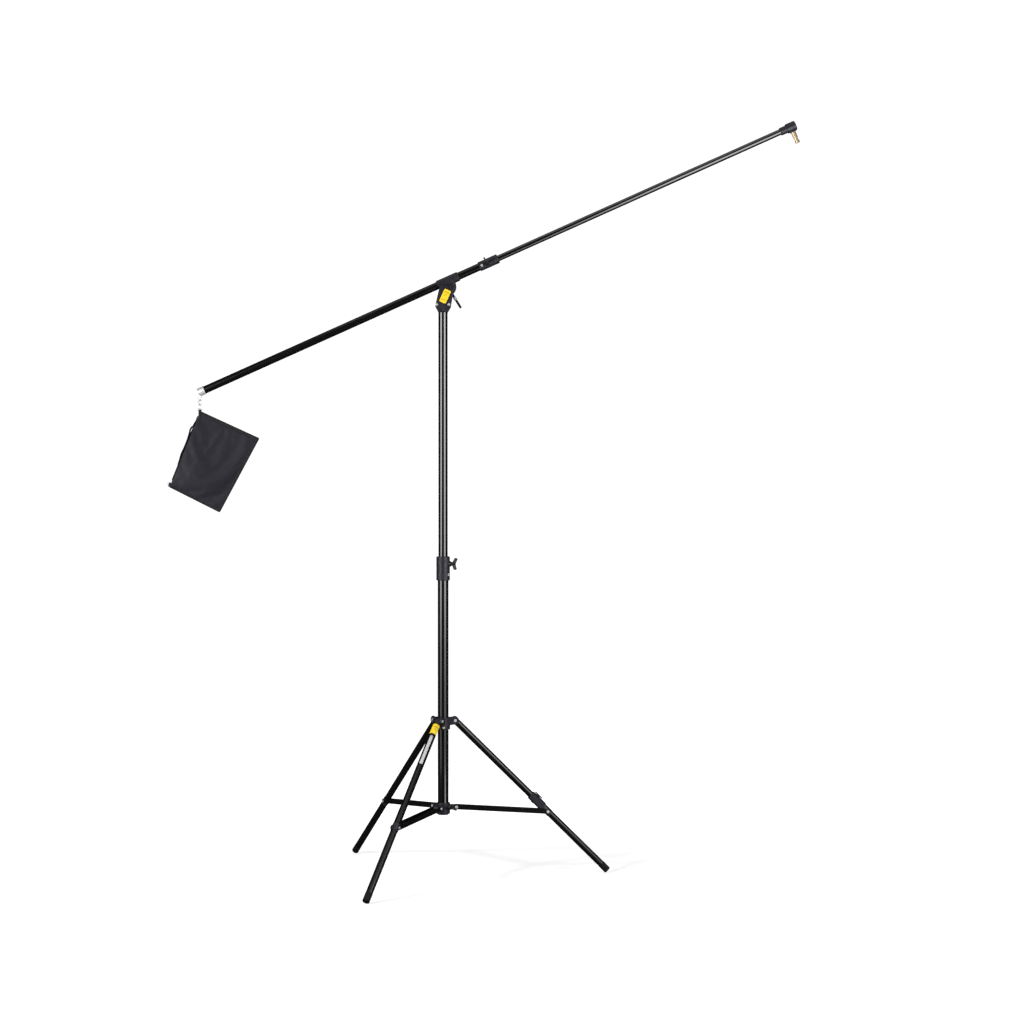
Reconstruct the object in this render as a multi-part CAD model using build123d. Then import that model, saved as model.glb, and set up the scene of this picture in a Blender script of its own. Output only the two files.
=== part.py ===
"""A braced light stand with a telescoping boom arm, a tilting head and a counterweight bag.

Millimetres. The origin is on the floor under the column, +Z is up, the boom rises towards +X.
"""

from build123d import *
import math
import os

os.makedirs("parts", exist_ok=True)

# Clearances
running_gap = 0.05
side_gap = 0.1
fork_gap = 0.4
free_gap = 0.3
telescope_gap = 1

# Tripod
leg_azimuths = {"right": 5, "back": 125, "front": 245}
leg_radius = 11
leg_wall = 1.2
leg_length = 707
leg_spread = 45.2
leg_tube_start = 12
foot_radius = leg_radius + 0.5
foot_height = 30
foot_sole = 5
foot_rounding = 1.5
pin_radius = 3
pin_head_radius = 4.8
pin_head_height = 1.8

# Column
column_radius = 17.5
column_wall = 1.5
column_length = 803
column_below_pivot = 304

# Leg hub
leg_hub_radius = column_radius + 5
leg_pivot_x = leg_hub_radius + 16
leg_hub_height = 39
leg_hub_above_pivot = 10
ear_radius = 12.5
ear_thickness = 4

# Brace hub and braces
brace_reach = 428
brace_hub_radius = column_radius + 5
brace_hub_height = 36
brace_pivot_x = brace_hub_radius + 19.9
brace_pivot_rise = 22
tongue_half_width = leg_radius + 1.2
tongue_radius = 7
brace_thickness = 1.6
brace_half_depth = 7.25
web_start = 14
web_stop_short = 120
saddle_half_length = 12
saddle_radius = leg_radius + 1.2

# Levelling sleeve on the right leg
sleeve_radius = leg_radius + 3.5
sleeve_low = 78
sleeve_high = 22
sleeve_knob_back = 58

# Telescoping column
collar_radius = column_radius + 4.5
collar_height = 78
collar_grip = 44
collar_lip = 2
riser_radius = column_radius - column_wall - telescope_gap
riser_wall = 1.5
riser_length = 932
riser_overlap = 68
guide_floor = 6
guide_height = 33

# Locks
knob_boss_radius = 9
knob_boss_height = 4
knob_shank_radius = 3
wing_span = 39
wing_thickness = 4.5
disc_knob_radius = 15
disc_knob_height = 3.5
screw_radius = 2.5
screw_head_radius = 4.2
screw_head_height = 3

# Head
pivot_offset = 17.5
pivot_above_riser = 45
head_clamp_height = 38
arm_disc_radius = 26
arm_rim_outer = 23
arm_rim_inner = 18.5
arm_rim_height = 1.2
arm_thickness = 7
head_screw_x = riser_radius + 4.7
head_screw_below_pivot = 59
bolt_radius = 4
washer_thickness = 0.9
washer_radius = 19
lever_length = 78
lever_radius = 4
lever_hub_height = 19
lever_lean = 31.5

# Boom
boom_tilt = 24.2
boom_radius = 12.5
boom_offset = boom_radius + bolt_radius + 1.5
boom_wall = 1.5
boom_tail = 875
boom_head = 135
clamp_radius = boom_radius + 3
clamp_back = 30
clamp_front = 44
clamp_disc_radius = 21
inner_radius = boom_radius - boom_wall - telescope_gap
inner_wall = 1.2
inner_start = 80
inner_end = 1204
inner_bush_length = 25
boom_collar_start = 118
boom_collar_length = 67
boom_collar_radius = boom_radius + 3
tip_head_start = 1191
tip_head_length = 54
tip_head_radius = inner_radius + 6
tip_socket_length = 22
tip_socket_radius = inner_radius + 3
spigot_place = 1229
spigot_radius = 8
spigot_root_radius = 6.5
spigot_boss = 1.5
spigot_free_length = 38
spigot_chamfer = 1.2
tail_cap_radius = boom_radius + 1.5
tail_cap_length = 22
tail_cap_wall = 5

# Hanging hardware
ring_radius = 6.7
ring_wire = 1.3
ring_behind_tail = 3
ring_below_boom = 19
hook_radius = 5.6
hook_wire = 1.6
hook_side = 8.5
hook_turn = 60
barrel_radius = 3.4
barrel_height = 6
eye_radius = 7
eye_wire = 1.4

# Counterweight bag
bag_lean = 22
bag_top_width = 209
bag_bottom_width = 180
bag_side = 263
bag_top_slant = 10
bag_bottom_slant = 15
bag_thick_side = 26
bag_thin_side = 10
bag_corner_round = 8
bag_below_eye = 3.5
strap_width = 9
strap_thickness = 1.6
tab_reach = 5
tab_height = 14
clip_ring_radius = 4.2
clip_ring_wire = 1.2
handle_width = 25
handle_thickness = 2.5
handle_start = 52
handle_run = 122
handle_rise = 8

# Heights and places that follow from the sizes above
spread = math.radians(leg_spread)
foot_drop = (foot_radius - foot_rounding) * math.sin(spread) + foot_rounding * (1 - math.cos(spread))
leg_pivot_z = leg_length * math.cos(spread) + foot_drop
column_base_z = leg_pivot_z - column_below_pivot
column_top_z = column_base_z + column_length
collar_base_z = column_top_z - collar_grip
collar_top_z = collar_base_z + collar_height
leg_hub_base_z = leg_pivot_z + leg_hub_above_pivot - leg_hub_height
brace_pivot_z = column_base_z + brace_pivot_rise
brace_end_x = leg_pivot_x + brace_reach * math.sin(spread)
brace_end_z = leg_pivot_z - brace_reach * math.cos(spread)
brace_length = math.hypot(brace_end_x - brace_pivot_x, brace_end_z - brace_pivot_z)
brace_dip = math.degrees(math.atan2(brace_pivot_z - brace_end_z, brace_end_x - brace_pivot_x))
brace_inner = tongue_half_width + free_gap
brace_outer = brace_inner + brace_thickness
ear_inner = leg_radius + fork_gap
ear_outer = ear_inner + ear_thickness
riser_base_z = column_top_z - riser_overlap
riser_top_z = riser_base_z + riser_length
pivot_z = riser_top_z + pivot_above_riser
fork_inner = clamp_radius + washer_thickness + side_gap
fork_outer = fork_inner + arm_thickness
boom_collar_end = boom_collar_start + boom_collar_length
collar_knob_z = column_top_z + 10
collar_screw_z = column_top_z - 25
boom_knob_s = boom_head + 11
boom_screw_s = boom_collar_start + 9
tail_end = boom_tail + tail_cap_wall

column_knob_azimuth = -20
column_screw_azimuth = -35
brace_knob_azimuth = -47
leg_hub_screw_azimuth = -85


def rod(radius, length):
    """A cylinder that starts at the origin and runs along +Z."""
    return Cylinder(radius, length, align=(Align.CENTER, Align.CENTER, Align.MIN))


def pipe(outer, inner, length):
    return rod(outer, length) - rod(inner, length)


def rod_x(radius, start, end):
    """A cylinder along the local X axis, from start to end."""
    return Pos(start, 0, 0) * Rot(0, 90, 0) * rod(radius, end - start)


def rod_y(radius, start, end):
    """A cylinder along the local Y axis, from start to end."""
    return Pos(0, start, 0) * Rot(-90, 0, 0) * rod(radius, end - start)


def block(low, high):
    """A box between two corners."""
    size = [b - a for a, b in zip(low, high)]
    return Pos(*low) * Box(*size, align=(Align.MIN, Align.MIN, Align.MIN))


def outline(points):
    return make_face(Polyline(*points, close=True))


def plate(sketch, low_y, high_y):
    """A sketch drawn in X and Z, made solid from low_y to high_y."""
    return Pos(0, high_y, 0) * extrude(Plane.XZ * sketch, amount=high_y - low_y)


def disc_at(radius, x, z):
    return Pos(x, z) * Circle(radius)


def whole_ring(radius, wire):
    """A ring in the XZ plane, centred on the origin."""
    return Rot(90, 0, 0) * Torus(radius, wire)


def headed_pin(grip):
    """A rivet along Y that holds a stack from -grip to +grip."""
    pin = rod_y(pin_radius, -grip - side_gap, grip + side_gap)
    for side in (-1, 1):
        seat = grip + side_gap
        head = rod_y(pin_head_radius, min(side * seat, side * (seat + pin_head_height)),
                     max(side * seat, side * (seat + pin_head_height)))
        rim = head.edges().filter_by(GeomType.CIRCLE).sort_by(Axis.Y)
        pin += fillet(rim[-1] if side > 0 else rim[0], 0.9)
    return pin


def cap_screw(length):
    """A socket screw along X: its head sits on x = 0 and its shank points inwards."""
    head = rod_x(screw_head_radius, 0, screw_head_height)
    head = fillet(head.edges().filter_by(GeomType.CIRCLE).sort_by(Axis.X)[-1], 0.7)
    socket = Pos(screw_head_height - 1.6, 0, 0) * Rot(0, 90, 0) * extrude(RegularPolygon(2.2, 6), 2)
    return head + rod_x(screw_radius, -length, 0) - socket


def wing_knob(shank_length):
    """A wing knob along X: x = 0 is the face it turns on, and its shank points inwards."""
    half = wing_span / 2
    hub = Pos(side_gap, 0, 0) * Rot(0, 90, 0) * Cone(7, 5.2, 15, align=(Align.CENTER, Align.CENTER, Align.MIN))
    wing = outline([(5, 0), (8, 8), (13, half), (20, half), (22.5, half - 4), (18.5, 7), (17, 0)])
    wings = plate(wing + mirror(wing, about=Plane.XZ), -wing_thickness / 2, wing_thickness / 2)
    tips = wings.edges().filter_by(Axis.Y)
    wings = fillet(tips.group_by(Axis.Z)[0] + tips.group_by(Axis.Z)[-1], 2.5)
    return hub + wings + rod_x(knob_shank_radius, -shank_length, side_gap)


def disc_knob(shank_length):
    """A low knurled knob along X: x = 0 is the face it turns on."""
    knob = rod_x(disc_knob_radius, side_gap, disc_knob_height)
    knob = fillet(knob.edges().filter_by(GeomType.CIRCLE).sort_by(Axis.X)[-1], 1.2)
    notch = Pos(0, 0, disc_knob_radius + 0.6) * rod_x(1.6, -1, disc_knob_height + 1)
    for turn in range(0, 360, 30):
        knob -= Rot(turn, 0, 0) * notch
    return knob + rod_x(knob_shank_radius, -shank_length, side_gap)


def knob_boss(inner, outer):
    """A round boss along X on a round collar, with its top at outer."""
    return rod_x(knob_boss_radius, inner, outer)


def on_column(azimuth, height):
    return Rot(0, 0, azimuth) * Pos(0, 0, height)


def leg_frame(azimuth):
    """Local X runs down the leg from its pivot, and local Z points up and outwards."""
    return Rot(0, 0, azimuth) * Pos(leg_pivot_x, 0, leg_pivot_z) * Rot(0, 90 - leg_spread, 0)


def brace_frame(azimuth):
    """Local X runs outwards along the brace from its pivot at the hub."""
    return Rot(0, 0, azimuth) * Pos(brace_pivot_x, 0, brace_pivot_z) * Rot(0, brace_dip, 0)


def boom_frame():
    """Local X runs along the boom, from the point of its axis nearest to the pivot."""
    return Pos(pivot_offset, 0, pivot_z) * Rot(0, -boom_tilt, 0) * Pos(0, 0, boom_offset)


def boom_point(along, above):
    return (boom_frame() * Pos(along, 0, above)).position


# Column


def lower_column_tube():
    tube = pipe(column_radius, column_radius - column_wall, column_length)
    return Pos(0, 0, column_base_z) * tube


def column_bottom_plug():
    inside = column_radius - column_wall
    plug = rod(inside, 14) + Pos(0, 0, -3) * rod(column_radius, 3)
    plug = fillet(plug.edges().filter_by(GeomType.CIRCLE).sort_by(Axis.Z)[0], 1.5)
    return Pos(0, 0, column_base_z) * (plug - Pos(0, 0, -3) * rod(5, 20))


def leg_hub_fork():
    """Two ears that hold one leg, drawn at azimuth 0."""
    pivot = disc_at(ear_radius, leg_pivot_x, leg_pivot_z)
    root = outline([
        (column_radius - 8, leg_pivot_z - 17),
        (leg_pivot_x + 4, leg_pivot_z - ear_radius + 0.7),
        (leg_pivot_x, leg_pivot_z + ear_radius - 2),
        (column_radius - 8, leg_pivot_z + leg_hub_above_pivot - 1),
    ])
    ears = plate(pivot + root, -ear_outer, ear_outer) - plate(Rectangle(400, 4000), -ear_inner, ear_inner)
    outer_faces = ears.faces().sort_by(Axis.Y)
    ears = fillet(outer_faces[0].edges() + outer_faces[-1].edges(), 1)
    hole = Pos(leg_pivot_x, 0, leg_pivot_z) * rod_y(pin_radius + running_gap, -ear_outer, ear_outer)
    return ears - hole


def leg_hub_casting():
    ring = rod(leg_hub_radius, leg_hub_height)
    ring = fillet(ring.edges().filter_by(GeomType.CIRCLE), 2)
    hub = Pos(0, 0, leg_hub_base_z) * ring
    for azimuth in leg_azimuths.values():
        hub += Rot(0, 0, azimuth) * leg_hub_fork()
    hub -= Pos(0, 0, leg_hub_base_z - 1) * rod(column_radius, leg_hub_height + 30)
    screw = on_column(leg_hub_screw_azimuth, leg_hub_base_z + 7) * rod_x(screw_radius, 0, leg_hub_radius + 5)
    return hub - screw


def column_screws():
    """The screw that fixes the leg hub and the screw that fixes the lock collar."""
    grip = leg_hub_radius - column_radius
    low = on_column(leg_hub_screw_azimuth, leg_hub_base_z + 7) * Pos(leg_hub_radius, 0, 0) * cap_screw(grip)
    grip = collar_radius - column_radius
    high = on_column(column_screw_azimuth, collar_screw_z) * Pos(collar_radius, 0, 0) * cap_screw(grip)
    return [low, high]


def leg_pivot_pin(azimuth):
    return leg_frame(azimuth) * headed_pin(ear_outer)


def column_lock_collar():
    body = rod(collar_radius, collar_height)
    body = fillet(body.edges().filter_by(GeomType.CIRCLE), 2.5)
    ribs = Pos(0, 0, collar_height / 2) * collar_ribs()
    collar = Pos(0, 0, collar_base_z) * (body + ribs)
    knob = on_column(column_knob_azimuth, collar_knob_z)
    collar += knob * knob_boss(column_radius, collar_radius + knob_boss_height)
    collar -= Pos(0, 0, collar_base_z - 1) * rod(column_radius, collar_height + 1 - collar_lip)
    collar -= Pos(0, 0, collar_base_z) * rod(riser_radius + 0.6, collar_height + 1)
    collar -= knob * rod_x(knob_shank_radius + running_gap, 0, collar_radius + 20)
    screw = on_column(column_screw_azimuth, collar_screw_z)
    return collar - screw * rod_x(screw_radius, 0, collar_radius + 5)


def collar_ribs():
    """Two crossing ribs that stand proud of the collar's front and back."""
    rib_height = 1.2
    shell = Pos(0, 0, -29) * (rod(collar_radius + rib_height, 58) - rod(collar_radius - 2, 58))
    crossed = Rot(0, 28, 0) * Box(4.5, 80, 90) + Rot(0, -28, 0) * Box(4.5, 80, 90)
    return shell & (crossed & Box(31, 80, 58))


def column_collar_bush():
    bush = pipe(column_radius, riser_radius + running_gap, collar_height - collar_grip - collar_lip)
    hole = on_column(column_knob_azimuth, collar_knob_z) * rod_x(knob_shank_radius + running_gap, 0, 30)
    return Pos(0, 0, column_top_z) * bush - hole


def column_lock_knob():
    face = collar_radius + knob_boss_height
    shank = face - riser_radius - free_gap
    place = on_column(column_knob_azimuth, collar_knob_z) * Pos(face, 0, 0)
    return place * Rot(165, 0, 0) * wing_knob(shank)


# Legs


def leg_tube(azimuth):
    start = leg_tube_start
    end = leg_length - foot_sole
    tube = rod_x(leg_radius, start, end) - rod_x(leg_radius - leg_wall, start, end)
    return leg_frame(azimuth) * tube


def leg_top_plug(azimuth):
    eye_half = leg_radius - 2
    half = ear_inner - fork_gap / 2
    eye = rod_y(eye_half, -half, half) + block((0, -half, -eye_half), (leg_tube_start - 2, half, eye_half))
    eye = eye & rod_x(ear_inner, -20, 20)
    flange = rod_x(leg_radius, leg_tube_start - 2, leg_tube_start)
    spigot = rod_x(leg_radius - leg_wall, leg_tube_start, leg_tube_start + 20)
    hole = rod_y(pin_radius + running_gap, -half, half)
    return leg_frame(azimuth) * (eye + flange + spigot - hole)


def leg_foot(azimuth):
    cap = rod_x(foot_radius, leg_length - foot_height, leg_length)
    sole = cap.edges().filter_by(GeomType.CIRCLE).sort_by(Axis.X)
    cap = fillet(sole[-1], foot_rounding)
    cap = fillet(cap.edges().filter_by(GeomType.CIRCLE).sort_by(Axis.X)[0], 0.2)
    return leg_frame(azimuth) * (cap - rod_x(leg_radius, 0, leg_length - foot_sole))


def leg_saddle(azimuth):
    low = brace_reach - saddle_half_length
    high = brace_reach + saddle_half_length
    saddle = rod_x(saddle_radius, low, high)
    saddle = fillet(saddle.edges().filter_by(GeomType.CIRCLE), 0.5)
    return leg_frame(azimuth) * (saddle - rod_x(leg_radius, low, high))


def levelling_sleeve():
    low = brace_reach - sleeve_low
    high = brace_reach - sleeve_high
    body = rod_x(sleeve_radius, low, high)
    body = fillet(body.edges().filter_by(GeomType.CIRCLE), 2)
    end = brace_reach + saddle_half_length
    neck = fillet(rod_x(saddle_radius, high - 5, end).edges().filter_by(GeomType.CIRCLE), 0.5)
    knob = Pos(brace_reach - sleeve_knob_back, 0, 0)
    boss = knob * Rot(0, -90, 0) * rod_x(7, 0, sleeve_radius + 1)
    foot = knob * Rot(0, 90, 0) * rod_x(5, 0, sleeve_radius + 1.5)
    flats = block((low - 1, -tongue_half_width, -30), (end + 1, tongue_half_width, 30))
    sleeve = (body + neck + boss + foot) & flats
    sleeve -= rod_x(leg_radius + running_gap, low - 1, end + 1)
    sleeve -= knob * Rot(0, -90, 0) * rod_x(knob_shank_radius + running_gap, 0, 40)
    return leg_frame(leg_azimuths["right"]) * sleeve


def levelling_knob():
    """A low knob on the sleeve's upper side."""
    face = sleeve_radius + 1
    shank = face - leg_radius - free_gap
    knob = disc_knob(shank)
    place = Pos(brace_reach - sleeve_knob_back, 0, 0) * Rot(0, -90, 0) * Pos(face, 0, 0)
    return leg_frame(leg_azimuths["right"]) * place * knob


# Brace hub and braces


def brace_hub_casting():
    ring = rod(brace_hub_radius, brace_hub_height)
    ring = fillet(ring.edges().filter_by(GeomType.CIRCLE), 2)
    hub = Pos(0, 0, column_base_z) * ring
    arm = block(
        (column_radius + 1, -tongue_half_width, brace_pivot_z - tongue_radius),
        (brace_pivot_x, tongue_half_width, brace_pivot_z + tongue_radius),
    )
    end = Pos(brace_pivot_x, 0, brace_pivot_z) * rod_y(tongue_radius, -tongue_half_width, tongue_half_width)
    hole = Pos(brace_pivot_x, 0, brace_pivot_z) * rod_y(pin_radius + running_gap, -20, 20)
    for azimuth in leg_azimuths.values():
        hub += Rot(0, 0, azimuth) * (arm + end)
    for azimuth in leg_azimuths.values():
        hub -= Rot(0, 0, azimuth) * hole
    knob = on_column(brace_knob_azimuth, brace_pivot_z)
    hub += knob * knob_boss(column_radius, brace_hub_radius + knob_boss_height)
    hub -= Pos(0, 0, column_base_z - 1) * rod(column_radius + running_gap, brace_hub_height + 2)
    return hub - knob * rod_x(knob_shank_radius + running_gap, 0, 60)


def brace_hub_pin(azimuth):
    return brace_frame(azimuth) * headed_pin(brace_outer)


def brace_hub_knob():
    face = brace_hub_radius + knob_boss_height
    shank = face - column_radius - free_gap
    return on_column(brace_knob_azimuth, brace_pivot_z) * Pos(face, 0, 0) * Rot(65, 0, 0) * wing_knob(shank)


def brace_channel(azimuth):
    """A channel, open on top, whose cheeks straddle the hub's tongue and the leg."""
    middle = brace_length / 2
    cheek = Pos(middle, 0) * SlotCenterToCenter(brace_length, 2 * brace_half_depth)
    cheeks = plate(cheek, -brace_outer, brace_outer)
    hollow = block((-50, -brace_inner, -20), (brace_length + 50, brace_inner, 20))
    web = block(
        (web_start, -brace_outer, -brace_half_depth),
        (brace_length - web_stop_short, brace_outer, -brace_half_depth + brace_thickness),
    )
    channel = cheeks - hollow + web
    hub_hole = rod_y(pin_radius + running_gap, -brace_outer, brace_outer)
    leg_hole = Pos(brace_length, 0, 0) * rod_y(pin_radius, -brace_outer, brace_outer)
    return brace_frame(azimuth) * (channel - hub_hole - leg_hole)


def brace_rivets(azimuth):
    """A stub rivet in each cheek, at the brace's leg end."""
    rivet = rod_y(pin_radius, brace_inner, brace_outer)
    head = rod_y(pin_head_radius, brace_outer, brace_outer + pin_head_height)
    rivet += fillet(head.edges().filter_by(GeomType.CIRCLE).sort_by(Axis.Y)[-1], 0.9)
    end = brace_frame(azimuth) * Pos(brace_length, 0, 0)
    return [end * rivet, end * Rot(0, 0, 180) * rivet]


# Riser and head


def riser_guide_cup():
    """Slides inside the column and carries the riser's foot."""
    outer = column_radius - column_wall - running_gap
    cup = rod(outer, guide_height) - Pos(0, 0, guide_floor) * rod(riser_radius + running_gap, guide_height)
    return Pos(0, 0, riser_base_z - guide_floor - side_gap) * cup


def riser_tube():
    tube = pipe(riser_radius, riser_radius - riser_wall, riser_length)
    return Pos(0, 0, riser_base_z) * tube


def arm_outline():
    """The head arm's side view: a clamp foot, a leaning neck and a round top."""
    foot_z = riser_top_z - head_clamp_height
    wide_z = pivot_z - head_screw_below_pivot
    neck = outline([
        (-riser_radius, foot_z),
        (riser_radius, foot_z),
        (head_screw_x + 6, wide_z - 6),
        (head_screw_x + 7.5, wide_z + 6),
        (pivot_offset + arm_disc_radius - 10, pivot_z - 19),
        (pivot_offset, pivot_z),
        (pivot_offset - arm_disc_radius + 1, pivot_z + 7),
        (-head_screw_x + 5.5, pivot_z - 15),
        (-head_screw_x - 3, wide_z + 6),
        (-head_screw_x - 5.2, wide_z - 4),
    ])
    return neck + disc_at(arm_disc_radius, pivot_offset, pivot_z)


def clamp_outline():
    """The part of the arm that reaches in to the riser."""
    foot_z = riser_top_z - head_clamp_height
    wide_z = pivot_z - head_screw_below_pivot
    return outline([
        (-riser_radius, foot_z),
        (riser_radius, foot_z),
        (head_screw_x + 6, wide_z - 6),
        (head_screw_x + 6, wide_z + 7),
        (-head_screw_x - 3.5, wide_z + 7),
        (-head_screw_x - 5.2, wide_z - 4),
    ])


def head_arm():
    """The front arm. The rear arm is its mirror image."""
    arm = plate(arm_outline(), -fork_outer, -fork_inner)
    face = arm.faces().sort_by(Axis.Y)[0]
    arm = fillet(face.edges(), 2.2)
    arm += arm_rim()
    arm += plate(clamp_outline(), -fork_inner, -free_gap)
    arm -= Pos(0, 0, riser_top_z - head_clamp_height - 1) * rod(riser_radius, head_clamp_height + 20)
    for side in (-1, 1):
        hole = Pos(side * head_screw_x, 0, pivot_z - head_screw_below_pivot)
        arm -= hole * rod_y(screw_radius, -fork_outer - 1, 1)
    return arm - Pos(pivot_offset, 0, pivot_z) * rod_y(bolt_radius, -fork_outer - 1, 1)


def arm_rim():
    """A raised rim round the upper half of the arm's disc."""
    low = -fork_outer - arm_rim_height
    rim = rod_y(arm_rim_outer, low, -fork_outer) - rod_y(arm_rim_inner, low, -fork_outer)
    rim = rim & block((-60, -60, -2), (60, 0, 60))
    return Pos(pivot_offset, 0, pivot_z) * rim


def head_arm_front():
    return head_arm()


def head_arm_rear():
    return mirror(head_arm(), about=Plane.XZ)


def head_bolts():
    """Two screws from the front arm to nuts behind the rear arm."""
    bolts = []
    for side in (-1, 1):
        place = Pos(side * head_screw_x, 0, pivot_z - head_screw_below_pivot)
        screw = place * Pos(0, -fork_outer, 0) * Rot(0, 0, -90) * cap_screw(2 * fork_outer)
        nut = extrude(RegularPolygon(5, 6), 4)
        bolts.append(screw + place * Pos(0, fork_outer, 0) * Rot(-90, 0, 0) * nut)
    return bolts


def pivot_bolt():
    """Its domed cap sits on the front arm, and its shank carries the boom clamp and the lever."""
    cap = rod_y(9, -fork_outer - 5, -fork_outer)
    cap = fillet(cap.edges().filter_by(GeomType.CIRCLE).sort_by(Axis.Y)[0], 2.5)
    shank = rod_y(bolt_radius, -fork_outer, fork_outer + lever_hub_height - 3)
    return Pos(pivot_offset, 0, pivot_z) * (cap + shank)


def tilt_lever():
    """A hub on the bolt's rear end, with a rod that leans outwards."""
    start = fork_outer + side_gap
    hub = rod_y(11, start, start + lever_hub_height)
    hub = fillet(hub.edges().filter_by(GeomType.CIRCLE), 1.5)
    arm = rod_x(lever_radius, 8, lever_length)
    arm = fillet(arm.edges().filter_by(GeomType.CIRCLE).sort_by(Axis.X)[-1], 2.5)
    neck = Cone(7, lever_radius, 14, align=(Align.CENTER, Align.CENTER, Align.MIN))
    arm += Pos(9, 0, 0) * Rot(0, 90, 0) * neck
    lever = hub + Pos(0, start + lever_hub_height / 2, 0) * arm
    lever -= rod_y(bolt_radius + running_gap, start, start + lever_hub_height - 2)
    return lever_frame() * lever


def lever_frame():
    """Local X runs out along the lever from the pivot."""
    return Pos(pivot_offset, 0, pivot_z) * Rot(0, 90 - lever_lean, 0)


def tilt_lever_ferrule():
    centre_y = fork_outer + side_gap + lever_hub_height / 2
    ferrule = rod_x(lever_radius + 1.2, 36, 48)
    ferrule = fillet(ferrule.edges().filter_by(GeomType.CIRCLE), 0.8) - rod_x(lever_radius, 30, 60)
    return lever_frame() * Pos(0, centre_y, 0) * ferrule


# Boom clamp


def boom_clamp_sleeve():
    """A split sleeve round the boom, with two cheeks that the pivot bolt squeezes."""
    sleeve = rod_x(clamp_radius, -clamp_back, clamp_front)
    sleeve = fillet(sleeve.edges().filter_by(GeomType.CIRCLE), 1.5)
    cheeks = plate(disc_at(clamp_disc_radius, 0, -boom_offset), -clamp_radius, clamp_radius)
    saddle = block((-14, -clamp_radius, -boom_offset), (14, clamp_radius, 0))
    clamp = sleeve + cheeks + saddle
    clamp -= rod_x(boom_radius + running_gap, -clamp_back - 1, clamp_front + 1)
    clamp -= block((-clamp_back - 1, -1, -60), (clamp_front + 1, 1, 0))
    clamp -= Pos(0, 0, -boom_offset) * rod_y(bolt_radius + running_gap, -20, 20)
    return boom_frame() * clamp


def friction_washers():
    inner = bolt_radius + 4 * running_gap
    washer = rod_y(washer_radius, clamp_radius, clamp_radius + washer_thickness)
    washer -= rod_y(inner, clamp_radius, clamp_radius + washer_thickness)
    place = boom_frame() * Pos(0, 0, -boom_offset)
    return [place * washer, place * Rot(0, 0, 180) * washer]


# Boom


def boom_outer_tube():
    inside = boom_radius - boom_wall
    return boom_frame() * (rod_x(boom_radius, -boom_tail, boom_head) - rod_x(inside, -boom_tail, boom_head))


def boom_collar_knob_place():
    """Local X points from the boom's axis towards -Y, which is the stand's front."""
    return boom_frame() * Pos(boom_knob_s, 0, 0) * Rot(0, 0, -90)


def boom_collar_screw_place():
    return boom_frame() * Pos(boom_screw_s, 0, 0) * Rot(0, 0, -90)


def boom_lock_collar():
    collar = rod_x(boom_collar_radius, boom_collar_start, boom_collar_end)
    collar = fillet(collar.edges().filter_by(GeomType.CIRCLE), 1.5)
    collar += Pos(boom_knob_s, 0, 0) * Rot(0, 0, -90) * rod_x(8, 9, boom_collar_radius + 3)
    collar -= rod_x(boom_radius, boom_collar_start - 1, boom_collar_end - collar_lip)
    collar -= rod_x(inner_radius + 0.6, boom_collar_start, boom_collar_end + 1)
    collar -= Pos(boom_knob_s, 0, 0) * Rot(0, 0, -90) * rod_x(knob_shank_radius + running_gap, 0, 40)
    collar -= Pos(boom_screw_s, 0, 0) * Rot(0, 0, -90) * rod_x(screw_radius, 0, 40)
    return boom_frame() * collar


def boom_collar_screw():
    return boom_collar_screw_place() * Pos(boom_collar_radius, 0, 0) * cap_screw(boom_collar_radius - boom_radius)


def boom_collar_bush():
    end = boom_collar_end - collar_lip
    bush = rod_x(boom_radius, boom_head, end) - rod_x(inner_radius + running_gap, boom_head, end)
    hole = Pos(boom_knob_s, 0, 0) * Rot(0, 0, -90) * rod_x(knob_shank_radius + running_gap, 0, 20)
    return boom_frame() * (bush - hole)


def boom_lock_knob():
    face = boom_collar_radius + 3
    shank = face - inner_radius - free_gap
    return boom_collar_knob_place() * Pos(face, 0, 0) * Rot(12, 0, 0) * wing_knob(shank)


def boom_tail_cap():
    """Closes the tube's tail and carries a lug that the split ring runs through."""
    cap = rod_x(tail_cap_radius, -tail_end, -tail_end + tail_cap_length)
    cap = fillet(cap.edges().filter_by(GeomType.CIRCLE), 1)
    cap -= rod_x(boom_radius, -boom_tail, 0)
    nearest = ring_radius / math.hypot(ring_behind_tail, ring_below_boom - tail_cap_radius)
    lug_x = -tail_end - ring_behind_tail * (1 - nearest)
    lug_z = -ring_below_boom + (ring_below_boom - tail_cap_radius) * nearest
    lug = outline([
        (-tail_end + 4, -tail_cap_radius + 4.5),
        (-tail_end + 4, -tail_cap_radius + 0.8),
        (lug_x + 1, lug_z - 3.6),
        (lug_x - 3.4, lug_z + 1),
        (-tail_end - 0.5, -tail_cap_radius + 6),
    ])
    cap += plate(lug + disc_at(3.8, lug_x, lug_z), -3, 3) - rod_x(boom_radius, -boom_tail, 0)
    tunnel = Pos(-tail_end - ring_behind_tail, 0, -ring_below_boom) * whole_ring(ring_radius, ring_wire + side_gap)
    return boom_frame() * (cap - tunnel)


def boom_inner_tube():
    tube = rod_x(inner_radius, inner_start, inner_end) - rod_x(inner_radius - inner_wall, inner_start, inner_end)
    return boom_frame() * tube


def inner_guide_bush():
    outer = boom_radius - boom_wall - running_gap
    end = inner_start + inner_bush_length
    return boom_frame() * (rod_x(outer, inner_start, end) - rod_x(inner_radius, inner_start, end))


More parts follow.
